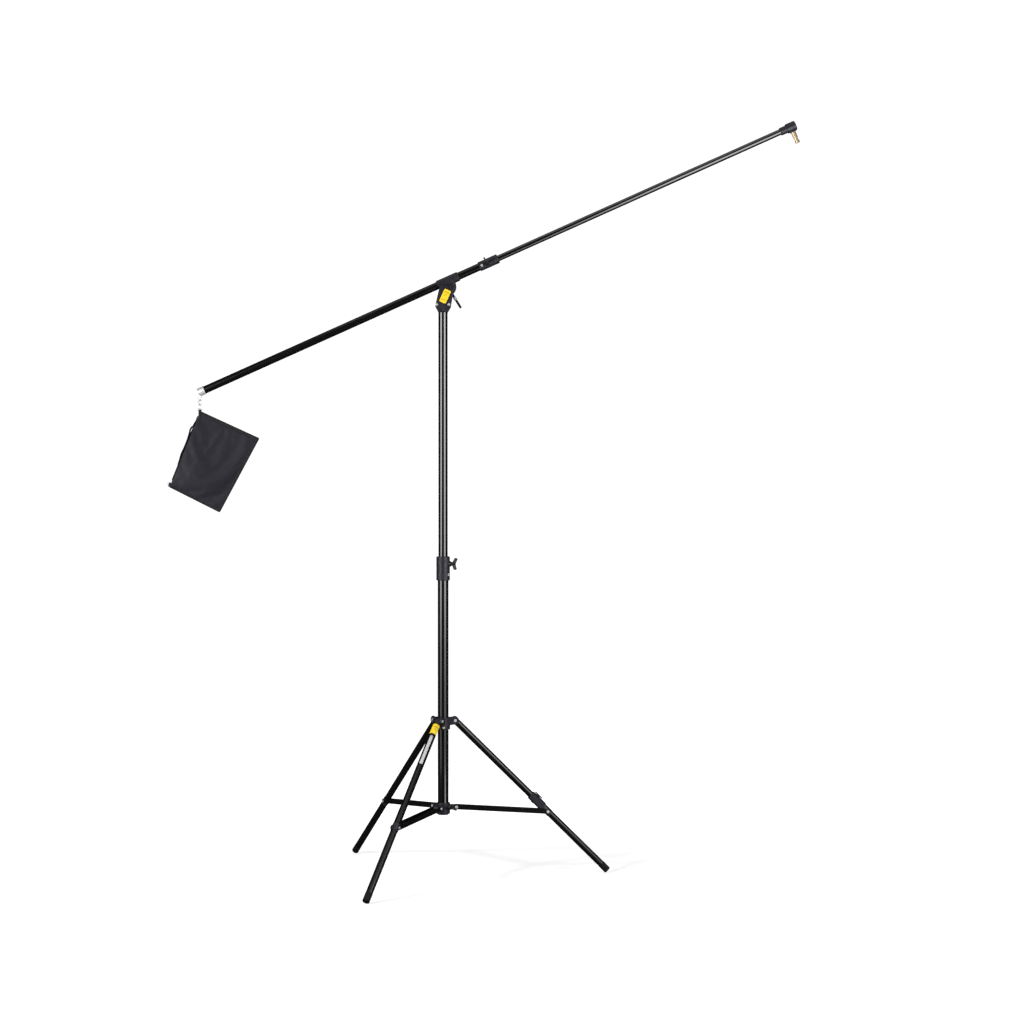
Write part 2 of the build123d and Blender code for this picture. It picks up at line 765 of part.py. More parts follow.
def tip_head():
    """A socket on the boom's tip that holds the spigot across it."""
    end = tip_head_start + tip_head_length
    step = tip_head_start + tip_socket_length
    socket = rod_x(tip_socket_radius, tip_head_start, step + 5)
    socket = fillet(socket.edges().filter_by(GeomType.CIRCLE).sort_by(Axis.X)[0], 1)
    head = rod_x(tip_head_radius, step, end)
    head = socket + fillet(head.edges().filter_by(GeomType.CIRCLE), 2)
    head -= rod_x(inner_radius, tip_head_start - 1, inner_end)
    root = spigot_frame() * rod_x(spigot_root_radius, 0, 40)
    neck = spigot_frame() * rod_x(spigot_radius + 3, 8, tip_head_radius + spigot_boss)
    return boom_frame() * (head + neck - root)


def spigot_frame():
    """Within the boom's frame: local X points down along the spigot."""
    return Pos(spigot_place, 0, 0) * Rot(0, 90, 0)


def tip_spigot():
    """A standard 16 mm stud with a catch groove."""
    shoulder = tip_head_radius + spigot_boss
    end = shoulder + spigot_free_length
    stud = rod_x(spigot_radius, shoulder, end)
    stud = chamfer(stud.edges().filter_by(GeomType.CIRCLE).sort_by(Axis.X)[-1], spigot_chamfer)
    groove_at = shoulder + 20
    groove = rod_x(spigot_radius + 1, groove_at, groove_at + 9) - rod_x(spigot_radius - 1.6, 0, end)
    return boom_frame() * spigot_frame() * (stud - groove + rod_x(spigot_root_radius, 0, shoulder))


# Hanging hardware


def ring_centre():
    return boom_point(-tail_end - ring_behind_tail, -ring_below_boom)


def split_ring():
    return Pos(*ring_centre()) * whole_ring(ring_radius, ring_wire)


def hook_frame():
    """Local origin is the centre of the hook's bow, and local X lies in the hook's plane."""
    centre = ring_centre()
    drop = ring_radius - ring_wire - 0.2 - hook_wire + hook_radius
    return Pos(centre.X, 0, centre.Z - drop) * Rot(0, 0, hook_turn)


def upper_bow(radius, wire):
    ring = whole_ring(radius, wire)
    return ring & block((-20, -20, 0), (20, 20, 20))


def lower_bow(radius, wire):
    ring = whole_ring(radius, wire)
    return ring & block((-20, -20, -20), (20, 20, 0))


def snap_hook():
    """A bow that the gate closes, on a barrel that holds the swivel eye."""
    bow = upper_bow(hook_radius, hook_wire)
    side = Pos(hook_radius, 0, -hook_side) * rod(hook_wire, hook_side)
    nose = Pos(-hook_radius, 0, -1.2) * rod(hook_wire, 1.2)
    base = Pos(0, 0, -hook_side) * lower_bow(hook_radius, hook_wire)
    bottom = -hook_side - hook_radius
    barrel = Pos(0, 0, bottom - barrel_height) * rod(barrel_radius, barrel_height + 1)
    barrel = fillet(barrel.edges().filter_by(GeomType.CIRCLE), 0.8)
    fork = Pos(-hook_radius, 0, -hook_side) * Box(4, 5, 4)
    hook = bow + side + nose + base + barrel + fork
    slot = Pos(-hook_radius, 0, -hook_side) * (Box(7, 2.2, 20) & block((-4, -2, -2.2), (4, 2, 9)))
    hook -= slot
    post = Pos(0, 0, bottom - barrel_height - 1) * rod(1.5 + running_gap, barrel_height)
    head = Pos(0, 0, bottom - 3) * rod(2.2 + running_gap, 2)
    return hook_frame() * (hook - post - head)


def snap_hook_gate():
    """A sprung bar that turns on a cross pin at its foot, with a thumb stud."""
    length = hook_side - 1.6
    bar = rod(1.0, length)
    bar = fillet(bar.edges().filter_by(GeomType.CIRCLE).sort_by(Axis.Z)[-1], 0.5)
    knuckle = rod_y(1.6, -1.0, 1.0)
    stud = Pos(0, 0, length * 0.62) * Rot(0, -90, 0) * rod(1.1, 3.4)
    gate = bar + knuckle + stud
    return hook_frame() * Pos(-hook_radius, 0, -hook_side) * gate


def eye_frame():
    """Local origin is the middle of the swivel eye's straight bar."""
    centre = ring_centre()
    drop = ring_radius - ring_wire - 0.2 - hook_wire + 2 * hook_radius + hook_side + barrel_height
    return Pos(centre.X, 0, centre.Z - drop - eye_radius - eye_wire - 0.6)


def swivel_eye():
    bow = upper_bow(eye_radius, eye_wire)
    bar = rod_x(eye_wire, -eye_radius, eye_radius)
    corners = Pos(-eye_radius, 0, 0) * Sphere(eye_wire) + Pos(eye_radius, 0, 0) * Sphere(eye_wire)
    top = eye_radius + eye_wire + 0.6
    post = Pos(0, 0, eye_radius) * rod(1.5, top - eye_radius + 4)
    head = Pos(0, 0, top + barrel_height - 2.9) * rod(2.2, 1.8)
    return eye_frame() * (bow + bar + corners + post + head)


# Counterweight bag


def bag_frame():
    """Local origin is the bag's hanging corner, and local -Z runs down its mouth side."""
    eye = eye_frame().position
    return Pos(eye.X, 0, eye.Z - bag_below_eye) * Rot(0, bag_lean, 0)


def bag_outline():
    """The bag seen flat. Its mouth is the side at local x = 0."""
    return outline([
        (0, 0),
        (bag_top_width, -bag_top_slant),
        (bag_bottom_width, -bag_side - bag_bottom_slant),
        (0, -bag_side),
    ])


def bag_body():
    """A closed stand-in with the bag's outline, thicker along the mouth."""
    corners = bag_outline().vertices()
    flat = fillet(corners, bag_corner_round)
    slab = plate(flat, -bag_thick_side, bag_thick_side)
    thick = bag_thick_side / 2
    thin = bag_thin_side / 2
    taper = make_face(Polyline(
        (-5, -thick), (bag_top_width + 5, -thin), (bag_top_width + 5, thin), (-5, thick), close=True))
    wedge = Pos(0, 0, -bag_side - 60) * extrude(taper, bag_side + 120)
    return bag_frame() * (slab & wedge)


def bag_corner_straps():
    """Webbing that loops through the swivel eye, and a tab at the lower corner of the mouth."""
    loop_in = eye_wire + 0.3
    loop_out = loop_in + strap_thickness
    tail = 9
    loop = rod_x(loop_out, -strap_width / 2, strap_width / 2)
    loop += block((-strap_width / 2, -loop_out, -tail), (strap_width / 2, loop_out, 0))
    loop -= rod_x(loop_in, -strap_width, strap_width)
    loop -= block((-strap_width, -loop_in, -tail + 5), (strap_width, loop_in, 0))
    top = eye_frame() * loop - bag_body()
    tab = block((-tab_reach, -3, -bag_side), (6, 3, -bag_side + tab_height))
    low = bag_frame() * tab - bag_body()
    return [largest(top), largest(low)]


def largest(shape):
    return shape.solids().sort_by(SortBy.VOLUME)[-1]


def bag_lower_clip():
    """A spare ring through the tab at the mouth's lower corner, with a clip that hangs from it."""
    centre = bag_frame() * Pos(-tab_reach - clip_ring_radius + clip_ring_wire, 0, -bag_side + tab_height / 2)
    ring = centre * whole_ring(clip_ring_radius, clip_ring_wire)
    hanging = centre * Rot(0, -bag_lean + 8, 0)
    top = -clip_ring_radius
    clip = hanging * Pos(0, 0, top - 17) * (rod(1.8, 17) + Pos(0, 0, 12) * rod(2.7, 4) + rod(2.4, 6))
    return ring + clip - bag_corner_straps()[1]


def bag_handle():
    """A webbing carry strap that bows out from the mouth."""
    start = -handle_start
    end = -handle_start - handle_run
    root = 0.6 * handle_rise
    inside = handle_rise - handle_thickness
    path = [
        (1, start), (-root, start - 7), (-handle_rise, start - 18),
        (-handle_rise, end + 18), (-root, end + 7), (1, end),
    ]
    inner = [(1, start - 8), (-inside, start - 20), (-inside, end + 20), (1, end + 8)]
    strap = plate(outline(path + inner[::-1]), -handle_width / 2, handle_width / 2)
    return bag_frame() * strap - bag_body()


def parts_of_each_leg():
    made = {}
    for side, azimuth in leg_azimuths.items():
        made["leg_tube_" + side] = leg_tube(azimuth)
        made["leg_top_plug_" + side] = leg_top_plug(azimuth)
        made["leg_foot_" + side] = leg_foot(azimuth)
        made["brace_channel_" + side] = brace_channel(azimuth)
        made["brace_rivets_" + side] = brace_rivets(azimuth)
        if side != "right":
            made["leg_saddle_" + side] = leg_saddle(azimuth)
    return made


def all_parts():
    made = parts_of_each_leg()
    made["leg_pivot_pins"] = [leg_pivot_pin(azimuth) for azimuth in leg_azimuths.values()]
    made["brace_hub_pins"] = [brace_hub_pin(azimuth) for azimuth in leg_azimuths.values()]
    for build in (
        lower_column_tube, column_bottom_plug, leg_hub_casting, column_screws, column_lock_collar,
        column_collar_bush, column_lock_knob, levelling_sleeve, levelling_knob, brace_hub_casting,
        brace_hub_knob, riser_guide_cup, riser_tube, head_arm_front, head_arm_rear, head_bolts,
        pivot_bolt, tilt_lever, tilt_lever_ferrule, boom_clamp_sleeve, friction_washers,
        boom_outer_tube, boom_lock_collar, boom_collar_screw, boom_collar_bush, boom_lock_knob,
        boom_tail_cap, boom_inner_tube, inner_guide_bush, tip_head, tip_spigot, split_ring,
        snap_hook, snap_hook_gate, swivel_eye, bag_body, bag_corner_straps, bag_lower_clip, bag_handle,
    ):
        made[build.__name__] = build()
    return made


for node, shape in all_parts().items():
    if isinstance(shape, list):
        shape = Compound(children=[solid for item in shape for solid in item.solids()])
    export_step(shape, f"parts/{node}.step")
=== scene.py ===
"""The looks of a braced light stand with a boom arm and a counterweight bag, on its CAD frame.

Metres. The origin is on the floor under the column, +Z is up, and the boom rises towards +X.
"""

import math

import bmesh
import bpy
from mathutils import Matrix, Vector


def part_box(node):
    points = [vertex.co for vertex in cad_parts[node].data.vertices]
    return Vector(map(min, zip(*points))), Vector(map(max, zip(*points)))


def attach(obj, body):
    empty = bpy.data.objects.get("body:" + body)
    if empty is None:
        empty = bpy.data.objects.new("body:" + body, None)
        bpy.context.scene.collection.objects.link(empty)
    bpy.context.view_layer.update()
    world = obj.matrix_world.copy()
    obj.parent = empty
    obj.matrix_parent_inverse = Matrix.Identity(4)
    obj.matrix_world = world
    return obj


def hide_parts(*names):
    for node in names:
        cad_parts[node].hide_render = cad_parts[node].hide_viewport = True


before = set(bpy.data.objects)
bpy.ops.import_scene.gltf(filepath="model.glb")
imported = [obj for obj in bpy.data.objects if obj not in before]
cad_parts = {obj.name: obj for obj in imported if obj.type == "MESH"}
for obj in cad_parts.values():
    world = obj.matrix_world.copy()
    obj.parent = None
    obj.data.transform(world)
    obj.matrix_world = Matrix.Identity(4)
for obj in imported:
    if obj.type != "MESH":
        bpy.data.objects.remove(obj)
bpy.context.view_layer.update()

# Camera and light
camera_place = Vector((0.0954, -7.158, 1.2724))
camera_target = Vector((0.224, 0.0, 1.183))
camera_lens = 77.43
floor_radius = 3.2
world_fill = 0.02
backdrop = 1.1
panel_steps = [
    (0.0, 0.55), (0.34, 0.95), (0.56, 1.6), (0.77, 3.1), (1.0, 3.8), (1.9, 5.4), (2.3, 5.6),
]
# Name, centre on the floor and width
panels = [
    ("left_panel", (-1.9, -1.7), 1.65),
    ("right_panel", (1.75, -1.75), 1.8),
]
# Name, place, target, width, height, radiance, and whether gloss reflects it
lamps = [
    ("overhead", (0.3, -0.5, 4.5), (0.3, -0.2, 0), 4, 4, 0.7, True),
    ("key", (-3.2, -2.2, 2.6), (0, 0, 0), 0.4, 0.4, 190, False),
    ("rear_fill", (0.3, 3.6, 2.3), (0, 0, 1.2), 3, 2, 2.0, False),
    ("bounce_card", (1.9, -1.8, 0.1), (0.9, -0.2, 2.1), 1.2, 1.2, 2.5, True),
]

# Bag, in the plane of its panels
bag_lean = math.radians(22)
bag_top_width = 0.209
bag_bottom_width = 0.180
bag_side = 0.263
bag_top_slant = 0.010
bag_bottom_slant = 0.015
bag_corner_drop = 0.0035
eye_wire = 0.0014
gusset_half = 0.0105
panel_bulge = 0.0065
seam_half = 0.0016
cells_across = 44
cells_down = 56
settle_frames = 24
settle_reach = 0.005
binding_width = 0.009
binding_thickness = 0.0006
seam_stitch_inset = 0.0062
seam_stitch_height = 0.00275

# Webbing and thread
webbing_thickness = 0.0016
loop_width = 0.009
handle_width = 0.025
handle_start = 0.052
handle_run = 0.122
handle_thickness = 0.003
handle_stitch_inset = 0.0025
loop_flare = 0.0042
tab_width = 0.014
tab_thickness = 0.0012
tab_above_foot = 0.0065
tab_bend = 0.0022
tab_root = 0.0042
thread_lift = 0.0001
stitch_length = 0.0026
stitch_pitch = 0.0036
stitch_radius = 0.00028

# Zipper
zip_pitch = 0.0026
zip_tape_half = 0.0085
zip_tape_thickness = 0.0006
zip_coil_half = 0.0009
zip_start = 0.016
zip_stop_above_foot = 0.022
slider_from_start = 0.012

# Labels
label_width = 0.0228
label_height = 0.0445
label_centre = (0.0072, 1.8815)
label_lean = math.radians(24.8)
label_thickness = 0.0004
label_round = 0.003
ink_thickness = 0.00008
# Place on the label, width and height of each bar
label_bars = [
    (0, 0.0135, 0.0145, 0.0042),
    (0, 0.0070, 0.0105, 0.0016),
    (0, 0.0040, 0.0125, 0.0010),
    (-0.0015, 0.0012, 0.0095, 0.0010),
    (0, -0.0125, 0.0135, 0.0034),
]
rim_height = 0.0012
wrap_lift = 0.0001
wrap_thickness = 0.0002

# Front leg, which carries the wrapped labels
leg_azimuth = math.radians(245)
leg_spread = math.radians(45.2)
leg_pivot_x = 0.0385
leg_pivot_z = 0.50571
leg_radius = 0.011
# Start and end down the leg from its pivot, and half the angle that each patch covers
leg_band = (0.018, 0.057, math.radians(125))
leg_strip = (0.066, 0.181, math.radians(26))
leg_strip_turn = math.radians(8)
leg_marks = [
    (0.027, 0.033, math.radians(28)),
    (0.037, 0.0395, math.radians(20)),
    (0.043, 0.0445, math.radians(24)),
]


# Node trees


class Look:
    """One procedural material. Its textures read the object's own coordinates, in metres."""

    def __init__(self, name, **constants):
        self.material = bpy.data.materials.new(name)
        self.material.use_nodes = True
        self.tree = self.material.node_tree
        self.shader = self.tree.nodes["Principled BSDF"]
        for socket, value in constants.items():
            self.shader.inputs[socket.replace("_", " ")].default_value = value
        self.place = self.tree.nodes.new("ShaderNodeTexCoord").outputs["Object"]

    def node(self, kind, sockets=None, **settings):
        made = self.tree.nodes.new("ShaderNode" + kind)
        for key, value in settings.items():
            setattr(made, key, value)
        for key, value in (sockets or {}).items():
            if isinstance(value, bpy.types.NodeSocket):
                self.tree.links.new(value, made.inputs[key])
            else:
                made.inputs[key].default_value = value
        return made

    def turned(self, rotation=(0, 0, 0), stretch=(1, 1, 1)):
        """The coordinates seen in a turned frame and stretched along its axes."""
        sockets = {"Vector": self.place, "Rotation": rotation}
        turned = self.node("Mapping", sockets, vector_type="POINT")
        sockets = {"Vector": turned.outputs[0], "Scale": stretch}
        scaled = self.node("Mapping", sockets, vector_type="POINT")
        return scaled.outputs[0]

    def noise(self, scale, detail=3.0, place=None):
        sockets = {"Vector": place or self.place, "Scale": scale}
        sockets.update({"Detail": detail, "Roughness": 0.55})
        return self.node("TexNoise", sockets).outputs["Fac"]

    def cells(self, scale):
        sockets = {"Vector": self.place, "Scale": scale}
        return self.node("TexVoronoi", sockets).outputs["Distance"]

    def math(self, operation, first, second=0.0):
        return self.node("Math", {0: first, 1: second}, operation=operation).outputs[0]

    def remap(self, value, low, high, to_low=0.0, to_high=1.0):
        sockets = {"Value": value, "From Min": low, "From Max": high}
        sockets.update({"To Min": to_low, "To Max": to_high})
        return self.node("MapRange", sockets).outputs[0]

    def blend(self, share, first, second):
        sockets = {0: share, 6: first, 7: second}
        return self.node("Mix", sockets, data_type="RGBA").outputs[2]

    def edges(self, radius):
        """1 on sharp edges and 0 on flat ground, where true and rounded normals part or agree."""
        rounded = self.node("Bevel", {"Radius": radius}, samples=4).outputs[0]
        true = self.node("NewGeometry").outputs["Normal"]
        alike = self.node("VectorMath", {0: rounded, 1: true}, operation="DOT_PRODUCT")
        return self.remap(alike.outputs["Value"], 0.999, 0.88)

    def colour(self, value):
        self.tree.links.new(value, self.shader.inputs["Base Color"])

    def roughness(self, value):
        self.tree.links.new(value, self.shader.inputs["Roughness"])

    def relief(self, *layers):
        """Stacks bumps. Each layer is a height, a depth in metres and a strength."""
        normal = None
        for height, depth, strength in layers:
            sockets = {"Height": height, "Distance": depth, "Strength": strength}
            if normal:
                sockets["Normal"] = normal
            normal = self.node("Bump", sockets).outputs[0]
        self.tree.links.new(normal, self.shader.inputs["Normal"])


def grey(value, warmth=0.0):
    return (value * (1 + warmth), value, value * (1 - warmth), 1)


def painted_tube():
    """Gloss black paint on drawn tube: slight orange peel, hairline scratches, handling marks."""
    look = Look("gloss_black_paint", IOR=1.62, Coat_Weight=1.0, Coat_Roughness=0.06)
    handled = look.noise(9, 4)
    peel = look.noise(900, 2)
    hairlines = look.noise(260, 2, look.turned((0.3, 0.2, 0), (1, 1, 0.04)))
    scratched = look.remap(hairlines, 0.68, 0.74)
    tone = look.blend(handled, grey(0.0018), grey(0.0032, -0.06))
    look.colour(look.blend(look.math("MULTIPLY", scratched, 0.2), tone, grey(0.03)))
    smooth = look.remap(handled, 0.3, 0.75, 0.1, 0.16)
    look.roughness(look.math("ADD", smooth, look.math("MULTIPLY", scratched, 0.2)))
    look.relief((peel, 0.00001, 0.02))
    return look.material


def satin_tube():
    """Satin black powder coat, with worn rims and dusty patches."""
    look = Look("satin_black_powder_coat", IOR=1.42, Coat_Weight=0.2, Coat_Roughness=0.15)
    patches = look.noise(14, 4)
    grain = look.noise(1500, 2)
    rim = look.math("MULTIPLY", look.edges(0.0006), look.remap(look.noise(120), 0.45, 0.7))
    tone = look.blend(patches, grey(0.0018), grey(0.0038, 0.03))
    look.colour(look.blend(rim, tone, grey(0.12)))
    look.roughness(look.remap(patches, 0.3, 0.7, 0.2, 0.28))
    look.relief((grain, 0.00003, 0.12), (look.noise(220, 2), 0.00003, 0.06))
    return look.material


def cast_metal():
    """Die-cast aluminium under thin dark paint: sandy grain and bright rubs on the edges."""
    look = Look("dark_cast_aluminium", Metallic=0.1, Specular_IOR_Level=0.5)
    sand = look.noise(1100, 3)
    flow = look.noise(60, 3)
    rub = look.math("MULTIPLY", look.edges(0.001), look.remap(look.noise(180, 3), 0.48, 0.66))
    tone = look.blend(flow, (0.009, 0.009, 0.0135, 1), (0.018, 0.018, 0.027, 1))
    look.colour(look.blend(look.math("MULTIPLY", rub, 0.7), tone, grey(0.2)))
    look.roughness(look.remap(flow, 0.3, 0.7, 0.34, 0.5))
    look.relief((sand, 0.00006, 0.25), (flow, 0.0003, 0.15))
    return look.material


def moulded_plastic():
    """Glass-filled nylon with a fine spark-eroded texture."""
    look = Look("black_moulded_nylon", Specular_IOR_Level=0.45)
    spark = look.cells(1300)
    cloud = look.noise(45, 3)
    worn = look.math("MULTIPLY", look.edges(0.0007), look.remap(look.noise(240), 0.4, 0.65))
    tone = look.blend(cloud, grey(0.004), grey(0.008, -0.05))
    look.colour(look.blend(look.math("MULTIPLY", worn, 0.5), tone, grey(0.07)))
    look.roughness(look.remap(cloud, 0.3, 0.7, 0.36, 0.52))
    look.relief((spark, 0.0001, 0.3))
    return look.material


def rubber():
    look = Look("foot_rubber", Specular_IOR_Level=0.3)
    dust = look.noise(70, 5)
    skin = look.noise(1400, 2)
    scuffed = look.remap(dust, 0.52, 0.72)
    look.colour(look.blend(scuffed, grey(0.003), grey(0.012, 0.12)))
    look.roughness(look.remap(dust, 0.3, 0.7, 0.62, 0.85))
    look.relief((skin, 0.0002, 0.4))
    return look.material


def plated_steel(name, colour, smooth, rough, tarnish):
    """Plated or turned metal with a brushed grain and a faint stain in random patches."""
    look = Look(name, Metallic=0.75)
    stain = look.noise(160, 4)
    grain = look.noise(900, 2, look.turned((0, 0, 0), (1, 1, 0.15)))
    look.colour(look.blend(look.remap(stain, 0.45, 0.75), colour, tarnish))
    look.roughness(look.remap(stain, 0.3, 0.75, smooth, rough))
    look.relief((grain, 0.00004, 0.2))
    return look.material


def friction_fibre():
    look = Look("friction_fibre", Specular_IOR_Level=0.2)
    fibre = look.noise(700, 4, look.turned((0.4, 0.2, 0.7), (1, 6, 1)))
    look.colour(look.blend(fibre, (0.05, 0.018, 0.012, 1), (0.16, 0.07, 0.045, 1)))
    look.roughness(look.remap(fibre, 0.3, 0.7, 0.7, 0.92))
    look.relief((fibre, 0.0002, 0.5))
    return look.material


def woven(name, dark, light, pitch, depth, sheen):
    """Plain weave in the plane of the bag's panels. Threads rise and dip over one another. Their
    colour holds painted shade: lighter on the crowns, darker in the dips between threads.
    """
    look = Look(name, Sheen_Weight=sheen, Sheen_Roughness=0.45, Specular_IOR_Level=0.35)
    place = look.turned((0, -bag_lean, 0))
    axes = look.node("SeparateXYZ", {0: place})
    turns = math.pi / pitch
    waves = []
    for axis in ("X", "Z"):
        turned = look.math("MULTIPLY", axes.outputs[axis], turns)
        wave = look.math("SINE", turned)
        waves.append((wave, look.math("ABSOLUTE", wave)))
    over = look.math("GREATER_THAN", look.math("MULTIPLY", waves[0][0], waves[1][0]), 0.0)
    sockets = {0: over, 2: waves[0][1], 3: waves[1][1]}
    crowns = look.node("Mix", sockets, data_type="FLOAT").outputs[0]
    uneven = look.noise(40, 5)
    slub = look.noise(500, 2, look.turned((0, -bag_lean, 0), (1, 1, 0.2)))
    # Painted shade: the colour follows the crown height, darker in the dips between threads.
    tone = look.math("MULTIPLY", crowns, look.remap(slub, 0.3, 0.7, 0.75, 1.0))
    mixed = look.blend(tone, dark, light)
    look.colour(look.blend(look.remap(uneven, 0.35, 0.7, 0.0, 0.3), mixed, dark))
    look.roughness(look.remap(uneven, 0.3, 0.7, 0.5, 0.68))
    look.relief((look.noise(38, 3), 0.001, 0.06), (crowns, depth, 0.4))
    return look.material


def printed_label(name, colour, shade):
    """A printed vinyl label: even ink with slight changes of tone, and small dirt."""
    look = Look(name, Coat_Weight=0.3, Coat_Roughness=0.3)
    ink = look.noise(300, 3)
    dirt = look.remap(look.noise(500, 4), 0.62, 0.8, 0.0, 0.5)
    look.colour(look.blend(dirt, look.blend(ink, colour, shade), grey(0.06)))
    look.roughness(look.remap(ink, 0.3, 0.7, 0.32, 0.48))
    look.relief((ink, 0.00005, 0.1))
    return look.material


def pale_floor():
    """Matt ground with a painted glow that is dimmer by the feet and white further out. It fades
    out at its rim.
    """
    look = Look("studio_floor", Specular_IOR_Level=0.0, Roughness=0.9)
    speckle = look.noise(6, 3)
    look.colour(look.blend(speckle, grey(0.60), grey(0.62)))
    # Painted glow: the floor emits light of its own, which stands in for light falling on it.
    look.shader.inputs["Emission Color"].default_value = (1, 1, 1, 1)
    distance = look.node("VectorMath", {0: look.place}, operation="LENGTH").outputs["Value"]
    # The painted glow is lowered by the feet so that cast shadows show there.
    glow = look.remap(distance, 0.7, 1.5, 0.585, 1.02)  # white beyond 1.5 m, darker by the feet
    look.tree.links.new(glow, look.shader.inputs["Emission Strength"])
    fade = look.remap(distance, floor_radius * 0.55, floor_radius * 0.98)
    clear = look.node("BsdfTransparent").outputs[0]
    mixed = look.node("MixShader", {0: fade, 1: look.shader.outputs[0], 2: clear}).outputs[0]
    look.tree.links.new(mixed, look.tree.nodes["Material Output"].inputs["Surface"])
    return look.material


looks = {
    "gloss": painted_tube(),
    "satin": satin_tube(),
    "cast": cast_metal(),
    "plastic": moulded_plastic(),
    "rubber": rubber(),
    "steel": plated_steel("bright_zinc_plate", grey(0.9), 0.34, 0.46, grey(0.62, 0.03)),
    "cap": plated_steel("satin_aluminium", grey(0.92), 0.4, 0.5, grey(0.75)),
    "brass": plated_steel("turned_brass", (0.93, 0.76, 0.5, 1), 0.28, 0.4, (0.7, 0.5, 0.28, 1)),
    "fibre": friction_fibre(),
    "nylon": woven("bag_nylon", (0.0033, 0.0031, 0.0062, 1), (0.009, 0.0086, 0.016, 1),
                   pitch=0.0007, depth=0.0001, sheen=0.015),
    "webbing": woven("bag_webbing", (0.003, 0.003, 0.004, 1), (0.011, 0.011, 0.014, 1),
                     pitch=0.0013, depth=0.0005, sheen=0.02),
    "thread": woven("bag_thread", (0.004, 0.004, 0.005, 1), (0.015, 0.015, 0.019, 1),
                    pitch=0.0004, depth=0.0001, sheen=0.02),
    "yellow": printed_label("yellow_label", (0.86, 0.62, 0.02, 1), (0.74, 0.5, 0.015, 1)),
    "ink": printed_label("label_ink", (0.42, 0.29, 0.01, 1), (0.5, 0.36, 0.015, 1)),
    "silver": printed_label("silver_sticker", grey(0.42), grey(0.5)),
}

finishes = {
    "gloss": ("lower_column_tube", "riser_tube", "boom_inner_tube"),
    "satin": ("leg_tube_", "brace_channel_", "boom_outer_tube"),
    "cast": ("leg_hub_casting", "brace_hub_casting", "head_arm_", "boom_clamp_sleeve",
             "boom_lock_collar", "column_lock_collar", "levelling_sleeve", "leg_saddle_",
             "tip_head", "tilt_lever", "leg_top_plug_"),
    "plastic": ("column_bottom_plug", "column_collar_bush", "riser_guide_cup", "boom_collar_bush",
                "inner_guide_bush", "column_lock_knob", "levelling_knob", "brace_hub_knob",
                "boom_lock_knob", "pivot_bolt"),
    "rubber": ("leg_foot_",),
    "steel": ("leg_pivot_pin", "brace_hub_pin", "brace_rivets_", "column_screws", "head_bolts",
              "tilt_lever_ferrule", "boom_collar_screw", "split_ring", "snap_hook", "swivel_eye",
              "bag_lower_clip"),
    "cap": ("boom_tail_cap",),
    "brass": ("tip_spigot",),
    "fibre": ("friction_washers",),
    "nylon": ("bag_body",),
    "webbing": ("bag_corner_straps", "bag_handle"),
}


def dress_cad_nodes():
    """Gives each CAD node the finish whose list has the longest name that fits it."""
    for node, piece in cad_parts.items():
        fits = [(len(start), look) for look, starts in finishes.items() for start in starts
                if node.startswith(start)]
        piece.data.materials.clear()
        piece.data.materials.append(looks[max(fits)[1]])


# Mesh helpers


def new_piece(name, mesh, look, body):
    piece = bpy.data.objects.new(name, mesh)
    bpy.context.scene.collection.objects.link(piece)
    mesh.materials.append(looks[look])
    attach(piece, body)
    return piece


def built_piece(name, parts, look, body, smooth=True):
    """A piece of one or more (points, faces) shapes."""
    return new_piece(name, mesh_of(name, *merged(parts), smooth=smooth), look, body)


def mesh_of(name, points, faces, smooth=True):
    mesh = bpy.data.meshes.new(name)
    mesh.from_pydata([tuple(p) for p in points], [], faces)
    made = bmesh.new()
    made.from_mesh(mesh)
    bmesh.ops.recalc_face_normals(made, faces=made.faces)
    made.to_mesh(mesh)
    made.free()
    mesh.polygons.foreach_set("use_smooth", [smooth] * len(mesh.polygons))
    return mesh


def apply_modifiers(piece):
    graph = bpy.context.evaluated_depsgraph_get()
    done = bpy.data.meshes.new_from_object(piece.evaluated_get(graph))
    piece.modifiers.clear()
    piece.data = done


def smoothed(points, rounds=2):
    """Chaikin's corner cutting on an open line, with its ends kept."""
    for _ in range(rounds):
        cut = [points[0]]
        for a, b in zip(points, points[1:]):
            cut += [a.lerp(b, 0.25), a.lerp(b, 0.75)]
        points = cut + [points[-1]]
    return points


def sweep(path, side, width, thickness, closed=False):
    """A flat band with rounded edges along a path. side is the direction of its width."""
    side = side.normalized()
    profile = []
    for turn in range(8):
        angle = math.radians(45 * turn + 22.5)
        flat = math.copysign(width / 2 - thickness / 2, math.cos(angle))
        profile.append((flat + math.cos(angle) * thickness / 2, math.sin(angle) * thickness / 2))
    points, faces = [], []
    count = len(path)
    for i, place in enumerate(path):
        before = path[i - 1] if closed or i else path[0]
        after = path[(i + 1) % count] if closed or i < count - 1 else path[-1]
        along = (after - before).normalized()
        up = side.cross(along).normalized()
        points += [place + side * a + up * b for a, b in profile]
    ring = len(profile)
    for i in range(count if closed else count - 1):
        for k in range(ring):
            a, b = i * ring + k, i * ring + (k + 1) % ring
            following = (i + 1) % count * ring
            faces.append((a, b, following + (k + 1) % ring, following + k))
    if not closed:
        last = range((count - 1) * ring, count * ring)
        faces += [tuple(range(ring)), tuple(reversed(last))]
    return points, faces


def merged(parts):
    """One list of points and one of faces from several."""
    points, faces = [], []
    for some_points, some_faces in parts:
        base = len(points)
        points += some_points
        faces += [tuple(base + i for i in face) for face in some_faces]
    return points, faces


def walk(path, pitch, start=0.0):
    """Even steps along a line: (place, direction) pairs."""
    steps = []
    wait = start
    for a, b in zip(path, path[1:]):
        run = (b - a).length
        while wait <= run:
            steps.append((a.lerp(b, wait / run), (b - a).normalized()))
            wait += pitch
        wait -= run
    return steps


